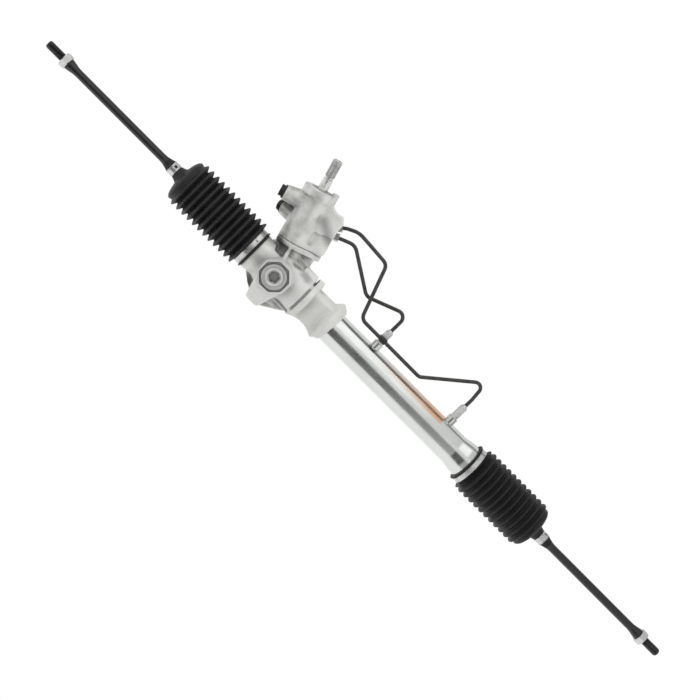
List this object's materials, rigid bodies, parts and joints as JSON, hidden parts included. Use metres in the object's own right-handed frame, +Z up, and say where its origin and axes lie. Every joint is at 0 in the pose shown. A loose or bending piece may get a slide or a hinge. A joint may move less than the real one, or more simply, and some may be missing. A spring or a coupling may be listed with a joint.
{
  "type": "steering rack",
  "caption": "Hydraulic rack-and-pinion steering gear: sliding rack in a tube, leaning pinion and valve tower, transfer pipes, bellows boots and jointed tie rods.",
  "frame": {"origin": "centre of the housing's round clamping neck, on the rack axis", "axes": "+X along the rack from the pinion end to the plain tube end, +Z up towards the input shaft, +Y towards the side of the rack where the pinion meshes"},
  "size_m": [1.1518, 0.0982, 0.2129],
  "materials": {
    "cast_aluminium": "as-cast, shot-blasted",
    "machined_aluminium": "turned",
    "bright_tube": "bright plated",
    "bar_steel": "ground",
    "bearing_steel": "polished",
    "forged_steel": "machined, oiled",
    "spring_steel": "phosphated",
    "zinc_steel": "bright zinc plated",
    "black_rod": "black coated, semi-gloss",
    "dark_pipe": "dark coated steel",
    "boot_rubber": "moulded, satin",
    "seal_rubber": "moulded",
    "black_plastic": "moulded",
    "liner_plastic": "moulded",
    "ring_plastic": "filled fluoroplastic",
    "bush_bronze": "sintered bronze"
  },
  "bodies": {
    "housing": {"pinion_housing": "cast_aluminium", "valve_housing": "cast_aluminium", "seam_bolts": "zinc_steel", "cylinder_tube": "bright_tube", "tube_port_left": "bright_tube", "tube_port_right": "bright_tube", "inner_seal_carrier": "black_plastic", "outer_seal_carrier": "black_plastic", "inner_rack_seal": "seal_rubber", "outer_rack_seal": "seal_rubber", "rack_end_bush": "machined_aluminium", "long_transfer_pipe": "dark_pipe", "short_transfer_pipe": "dark_pipe", "valve_pipe_nuts": "zinc_steel", "tube_pipe_nuts": "zinc_steel", "pipe_clip": "black_plastic", "pressure_port_plug": "black_plastic", "return_port_plug": "black_plastic", "rack_yoke": "machined_aluminium", "yoke_pad": "liner_plastic", "yoke_disc_springs": "spring_steel", "yoke_plug": "machined_aluminium", "pinion_bearing_outer": "bearing_steel", "pinion_lower_bush": "bush_bronze", "input_needle_bush": "bearing_steel", "input_oil_seal": "seal_rubber", "seal_retaining_ring": "spring_steel", "dust_cover": "seal_rubber", "boot_left": "boot_rubber", "boot_right": "boot_rubber", "boot_band_left": "zinc_steel", "boot_band_right": "zinc_steel"},
    "rack": {"rack_bar": "bar_steel", "rack_piston": "forged_steel", "piston_ring": "ring_plastic", "ball_socket_left": "forged_steel", "ball_socket_right": "forged_steel", "claw_washer_left": "zinc_steel", "claw_washer_right": "zinc_steel"},
    "pinion": {"pinion_shaft": "bar_steel", "pinion_bearing_inner": "bearing_steel", "valve_sleeve": "bearing_steel", "valve_seal_rings": "ring_plastic", "sleeve_drive_plate": "spring_steel", "torsion_bar": "spring_steel"},
    "input": {"input_shaft": "bar_steel"},
    "seat_left": {"ball_seat_left": "liner_plastic"},
    "seat_right": {"ball_seat_right": "liner_plastic"},
    "rod_left": {"tie_rod_left": "black_rod", "jam_nut_left": "zinc_steel", "cuff_clip_left": "zinc_steel"},
    "rod_right": {"tie_rod_right": "black_rod", "jam_nut_right": "zinc_steel", "cuff_clip_right": "zinc_steel"}
  },
  "joints": [
    {"name": "rack_slide", "type": "slide", "parent": "housing", "child": "rack", "axis": [1, 0, 0], "range_m": [-0.061, 0.071], "deforming": ["boot_left", "boot_right"]},
    {"name": "pinion_turn", "type": "hinge", "parent": "housing", "child": "pinion", "pos_m": [-0.07, 0.01681, 0], "axis": [-0.2807, 0, 0.9598], "range_deg": [-490, 570]},
    {"name": "valve_twist", "type": "hinge", "parent": "pinion", "child": "input", "pos_m": [-0.07, 0.01681, 0], "axis": [-0.2807, 0, 0.9598], "range_deg": [-5, 5], "stiffness_Nm_per_rad": 98},
    {"name": "ball_swing_left", "type": "hinge", "parent": "rack", "child": "seat_left", "pos_m": [-0.2175, 0, 0], "axis": [0, 0, 1], "range_deg": [-8, 8]},
    {"name": "ball_tilt_left", "type": "hinge", "parent": "seat_left", "child": "rod_left", "pos_m": [-0.2175, 0, 0], "axis": [0, 1, 0], "range_deg": [-20, 20]},
    {"name": "ball_swing_right", "type": "hinge", "parent": "rack", "child": "seat_right", "pos_m": [0.3925, 0, 0], "axis": [0, 0, 1], "range_deg": [-8, 8]},
    {"name": "ball_tilt_right", "type": "hinge", "parent": "seat_right", "child": "rod_right", "pos_m": [0.3925, 0, 0], "axis": [0, 1, 0], "range_deg": [-20, 20]}
  ],
  "couplings": [
    {"joint": "pinion_turn", "follows": "rack_slide", "rad_per_m": 138.2}
  ]
}
